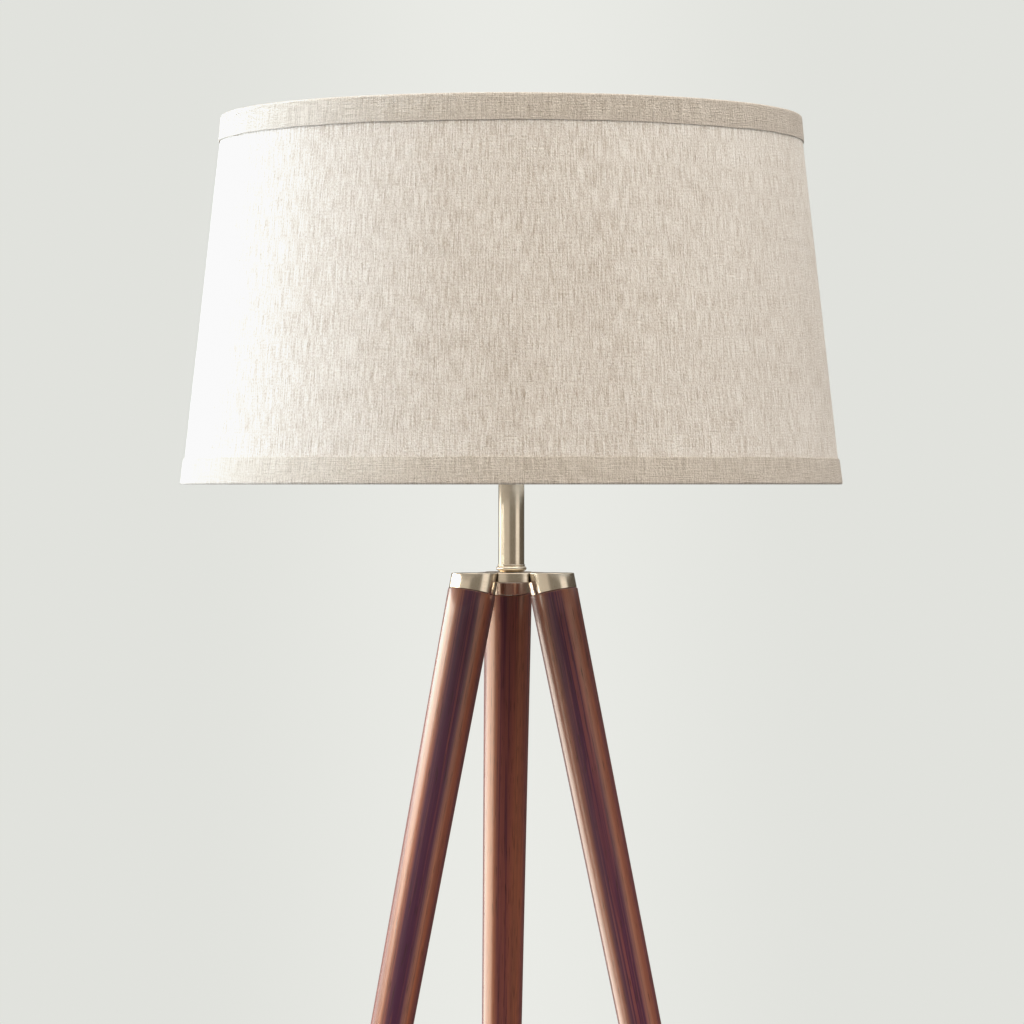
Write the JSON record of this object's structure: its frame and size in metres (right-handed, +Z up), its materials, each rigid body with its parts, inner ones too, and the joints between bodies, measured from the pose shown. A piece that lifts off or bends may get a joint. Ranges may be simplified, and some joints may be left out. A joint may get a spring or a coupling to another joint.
{
  "type": "tripod floor lamp",
  "caption": "Floor lamp with splayed, tapered round wooden legs on a metal hub, a short neck tube, a switched lamp holder with harp and bulb, and a conical fabric shade.",
  "frame": {"origin": "on the floor, under the middle of the whole lamp's box; the lamp's own vertical axis stands at x 0, y -0.03528, because one leg reaches further back than the shade reaches forward", "axes": "+Z up, +Y from the lamp axis towards the rear leg, +X to the right seen from the front; the harp lies in the XZ plane"},
  "size_m": [0.5214, 0.5293, 1.5],
  "materials": {
    "nickel": "satin brushed warm nickel plate",
    "walnut": "dark reddish walnut stain under satin lacquer",
    "linen": "oatmeal linen weave with vertical slubs",
    "trim_linen": "folded oatmeal linen binding",
    "shade_styrene": "matt white laminate",
    "ring_wire": "off-white powder coat",
    "harp_brass": "bright brass plate",
    "socket_brass": "satin brass",
    "zinc_steel": "zinc-plated steel",
    "bulb_aluminium": "plain rolled aluminium",
    "card": "pressed insulating card",
    "phenolic": "dark moulded phenolic",
    "bulb_glass": "frosted white glass",
    "glide_nylon": "natural nylon"
  },
  "bodies": {
    "stand": {"hub_plate": "nickel", "cord_bushing": "phenolic", "ferrule_rear": "nickel", "leg_rear": "walnut", "leg_insert_rear": "socket_brass", "leg_stud_rear": "zinc_steel", "foot_pad_rear": "glide_nylon", "ferrule_left": "nickel", "leg_left": "walnut", "leg_insert_left": "socket_brass", "leg_stud_left": "zinc_steel", "foot_pad_left": "glide_nylon", "ferrule_right": "nickel", "leg_right": "walnut", "leg_insert_right": "socket_brass", "leg_stud_right": "zinc_steel", "foot_pad_right": "glide_nylon", "neck_collar": "nickel", "neck_tube": "nickel", "neck_washer": "nickel", "lamp_pipe": "zinc_steel", "harp_saddle": "zinc_steel", "harp_wire": "harp_brass", "harp_stud": "harp_brass", "socket_cap": "socket_brass", "socket_shell": "socket_brass", "socket_liner": "card", "switch_body": "phenolic", "screw_shell": "bulb_aluminium", "centre_contact": "socket_brass", "bulb_cap": "bulb_aluminium", "bulb_globe": "bulb_glass"},
    "switch": {"switch_shaft": "socket_brass", "switch_knob": "phenolic"},
    "sleeve_left": {"harp_sleeve_left": "harp_brass"},
    "sleeve_right": {"harp_sleeve_right": "harp_brass"},
    "shade": {"shade_fabric": "linen", "shade_liner": "shade_styrene", "top_trim": "trim_linen", "bottom_trim": "trim_linen", "top_ring": "ring_wire", "bottom_ring": "ring_wire", "spider_washer": "ring_wire", "spider_arm_back": "ring_wire", "spider_arm_left": "ring_wire", "spider_arm_right": "ring_wire"},
    "finial": {"finial": "nickel"}
  },
  "joints": [
    {"name": "switch_turn", "type": "hinge", "parent": "stand", "child": "switch", "pos_m": [0, -0.05228, 1.2832], "axis": [0, -1, 0], "continuous": true},
    {"name": "sleeve_left_lift", "type": "slide", "parent": "stand", "child": "sleeve_left", "axis": [0, 0, 1], "range_m": [0, 0.012]},
    {"name": "sleeve_right_lift", "type": "slide", "parent": "stand", "child": "sleeve_right", "axis": [0, 0, 1], "range_m": [0, 0.012]},
    {"name": "shade_swivel", "type": "hinge", "parent": "stand", "child": "shade", "pos_m": [0, -0.03528, 1.476], "axis": [0, 0, 1], "continuous": true},
    {"name": "finial_turn", "type": "hinge", "parent": "stand", "child": "finial", "pos_m": [0, -0.03528, 1.4783], "axis": [0, 0, 1], "continuous": true}
  ]
}
